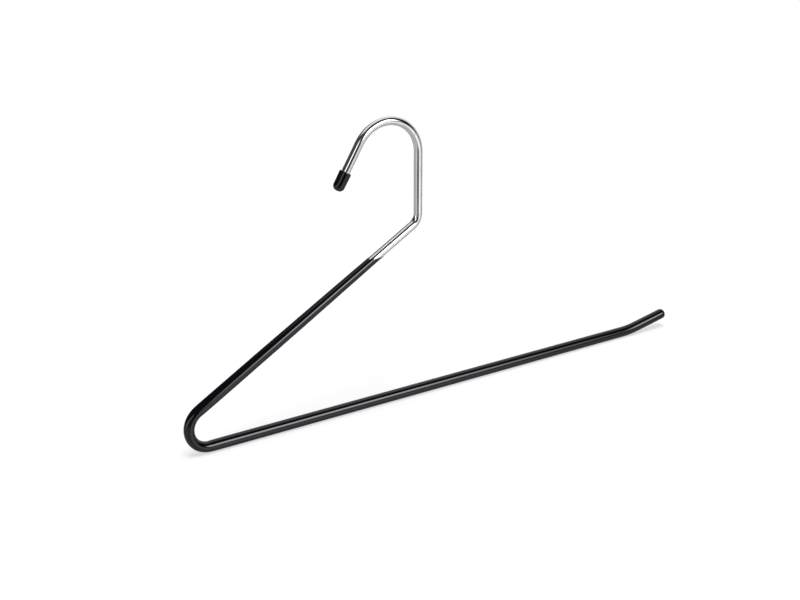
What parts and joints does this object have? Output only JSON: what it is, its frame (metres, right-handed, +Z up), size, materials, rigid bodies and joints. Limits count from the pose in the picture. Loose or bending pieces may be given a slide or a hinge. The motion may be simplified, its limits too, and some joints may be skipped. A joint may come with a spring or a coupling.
{
  "type": "trouser hanger",
  "caption": "Open-ended trouser hanger of bent chrome wire, with a dipped black grip coating on its sloping arm and long bar, and a push-on cap on the end of its hook.",
  "frame": {"origin": "where the inside of the hook's crown bears on its rail, in the middle of the wire", "axes": "+X along the trouser bar towards its open end, +Y across the wire's plane, +Z up as the hanger hangs"},
  "size_m": [0.3498, 0.007, 0.1743],
  "materials": {
    "chrome_wire": "bright chrome plate on steel wire",
    "black_dip": "glossy soft PVC, dipped and cured",
    "black_cap": "smooth moulded soft vinyl"
  },
  "bodies": {
    "root": {"wire_frame": "chrome_wire", "grip_coating": "black_dip", "hook_cap": "black_cap"}
  },
  "joints": []
}
